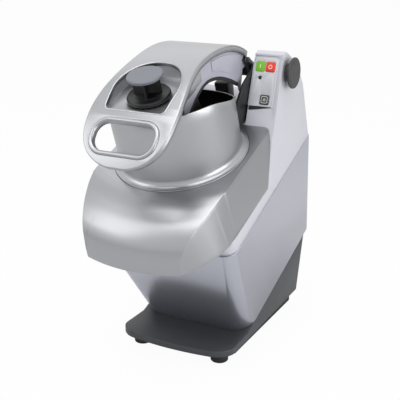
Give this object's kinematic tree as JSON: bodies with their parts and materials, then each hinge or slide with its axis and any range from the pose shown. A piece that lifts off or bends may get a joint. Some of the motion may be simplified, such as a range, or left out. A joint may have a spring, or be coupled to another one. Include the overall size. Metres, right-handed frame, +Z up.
{
  "type": "vegetable cutting machine",
  "caption": "Tilted vegetable cutting machine with a round hopper, arched feed lever with hand hole, pestle, cutting discs and belt drive on a wedge stand.",
  "frame": {"origin": "on the floor under the middle of the machine's overall box, in its plane of symmetry", "axes": "+X to the right seen from the front, +Y from the front to the back, +Z up"},
  "size_m": [0.334, 0.6668, 0.6576],
  "materials": {
    "stand_paint": "satin",
    "rubber": "matt",
    "body_paint": "satin",
    "cast_silver": "satin",
    "satin_aluminium": "satin",
    "brushed_steel": "brushed",
    "cast_metal": "machined",
    "bright_steel": "ground",
    "motor_paint": "semi gloss",
    "white_plastic": "gloss",
    "black_plastic": "matt",
    "board": "matt",
    "panel_foil": "satin",
    "lamp": "gloss",
    "polished_metal": "polished",
    "dark_grey_plastic": "satin",
    "lavender_plastic": "satin",
    "charcoal_plastic": "satin",
    "cap_plastic": "satin",
    "knob_plastic": "matt",
    "green_key": "satin",
    "red_key": "satin",
    "grey_key": "satin"
  },
  "bodies": {
    "machine": {"base_stand": "stand_paint", "rail_left": "rubber", "rail_right": "rubber", "foot_left": "rubber", "foot_right": "rubber", "motor_base": "body_paint", "upper_housing": "cast_silver", "nose_cover": "satin_aluminium", "chamber_bowl": "satin_aluminium", "discharge_chute": "satin_aluminium", "bearing_carrier": "cast_metal", "bearing_upper": "bright_steel", "bearing_lower": "bright_steel", "shaft_seal": "rubber", "motor_plate": "bright_steel", "motor": "motor_paint", "capacitor": "white_plastic", "drive_belt": "rubber", "cable_gland": "black_plastic", "gland_nut": "black_plastic", "control_board": "board", "panel_plate": "panel_foil", "status_light": "lamp", "lever_rest": "black_plastic"},
    "lid": {"lid_ring": "satin_aluminium", "hopper": "brushed_steel", "lid_arm_left": "black_plastic", "lid_arm_right": "black_plastic"},
    "lever": {"lever_hood": "satin_aluminium", "hand_rim": "polished_metal", "lever_tray": "dark_grey_plastic", "lever_side_left": "lavender_plastic", "lever_side_right": "lavender_plastic", "lever_arm_left": "black_plastic", "lever_arm_right": "black_plastic", "lever_hub": "black_plastic", "feed_tube": "dark_grey_plastic", "presser": "dark_grey_plastic"},
    "pestle_body": {"pestle": "charcoal_plastic", "pestle_cap": "cap_plastic"},
    "pin": {"hinge_pin": "bright_steel", "hinge_knob": "knob_plastic"},
    "spindle": {"drive_shaft": "bright_steel", "slicing_disc": "brushed_steel", "slicing_blades": "bright_steel", "ejector_disc": "dark_grey_plastic", "disc_nut": "black_plastic", "spindle_pulley": "cast_metal"},
    "rotor": {"motor_shaft": "bright_steel", "motor_pulley": "cast_metal"},
    "start_key": {"key_start": "green_key"},
    "stop_key": {"key_stop": "red_key"},
    "pulse_key": {"key_pulse": "grey_key"}
  },
  "joints": [
    {"name": "lid_hinge", "type": "hinge", "parent": "machine", "child": "lid", "pos_m": [0, 0.09501, 0.59221], "axis": [-1, 0, 0], "range_deg": [0, 65]},
    {"name": "lever_hinge", "type": "hinge", "parent": "lid", "child": "lever", "pos_m": [0, 0.09501, 0.59221], "axis": [-1, 0, 0], "range_deg": [0, 60]},
    {"name": "pestle_slide", "type": "slide", "parent": "lever", "child": "pestle_body", "axis": [0, -0.342, 0.9397], "range_m": [0, 0.15]},
    {"name": "pin_turn", "type": "hinge", "parent": "machine", "child": "pin", "pos_m": [0, 0.09501, 0.59221], "axis": [1, 0, 0], "range_deg": [0, 90]},
    {"name": "spindle_spin", "type": "hinge", "parent": "machine", "child": "spindle", "pos_m": [0, -0.05392, 0.35231], "axis": [0, -0.342, 0.9397], "continuous": true},
    {"name": "rotor_spin", "type": "hinge", "parent": "machine", "child": "rotor", "pos_m": [0, 0.13447, 0.34638], "axis": [0, -0.342, 0.9397], "continuous": true},
    {"name": "start_press", "type": "slide", "parent": "machine", "child": "start_key", "axis": [0, 0.9478, -0.3189], "range_m": [0, 0.001], "stiffness_N_per_m": 600, "springref_m": -0.001},
    {"name": "stop_press", "type": "slide", "parent": "machine", "child": "stop_key", "axis": [0, 0.9478, -0.3189], "range_m": [0, 0.001], "stiffness_N_per_m": 600, "springref_m": -0.001},
    {"name": "pulse_press", "type": "slide", "parent": "machine", "child": "pulse_key", "axis": [0, 0.9478, -0.3189], "range_m": [0, 0.001], "stiffness_N_per_m": 600, "springref_m": -0.001}
  ],
  "couplings": [
    {"joint": "rotor_spin", "follows": "spindle_spin", "ratio": 2.4}
  ]
}
